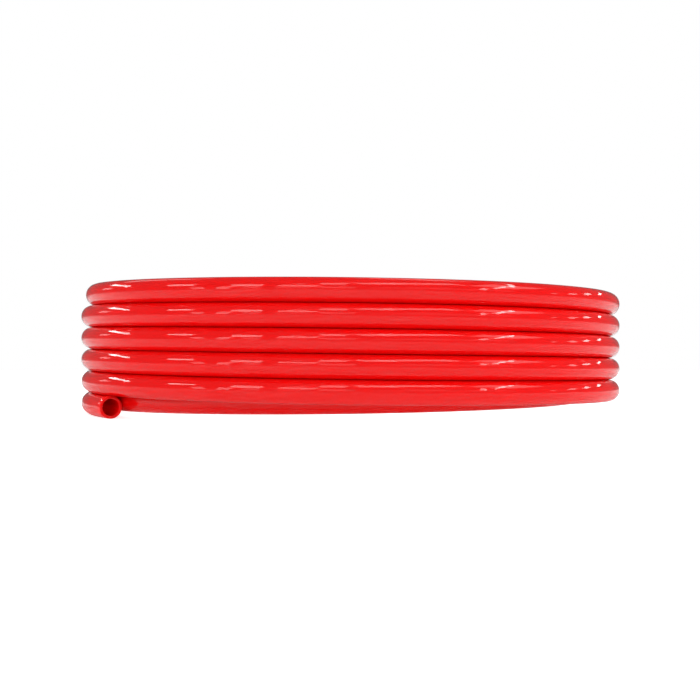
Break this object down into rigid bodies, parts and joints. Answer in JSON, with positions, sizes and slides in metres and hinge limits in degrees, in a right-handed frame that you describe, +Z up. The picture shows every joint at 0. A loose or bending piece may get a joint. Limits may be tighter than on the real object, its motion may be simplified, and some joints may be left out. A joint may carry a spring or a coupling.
{
  "type": "coiled air hose",
  "caption": "Neat two-layer coil of plain glossy red pneumatic hose with both ends cut square and no fittings.",
  "frame": {"origin": "on the floor, under the coil's axis", "axes": "+Z up along the coil's axis, -Y the front, where the outer cut end looks out at the left"},
  "size_m": [0.255, 0.255, 0.0608],
  "materials": {
    "red_nylon": "gloss, as extruded"
  },
  "bodies": {
    "root": {"outer_end": "red_nylon", "outer_winding": "red_nylon", "crossover": "red_nylon", "inner_winding": "red_nylon", "inner_end": "red_nylon"}
  },
  "joints": []
}
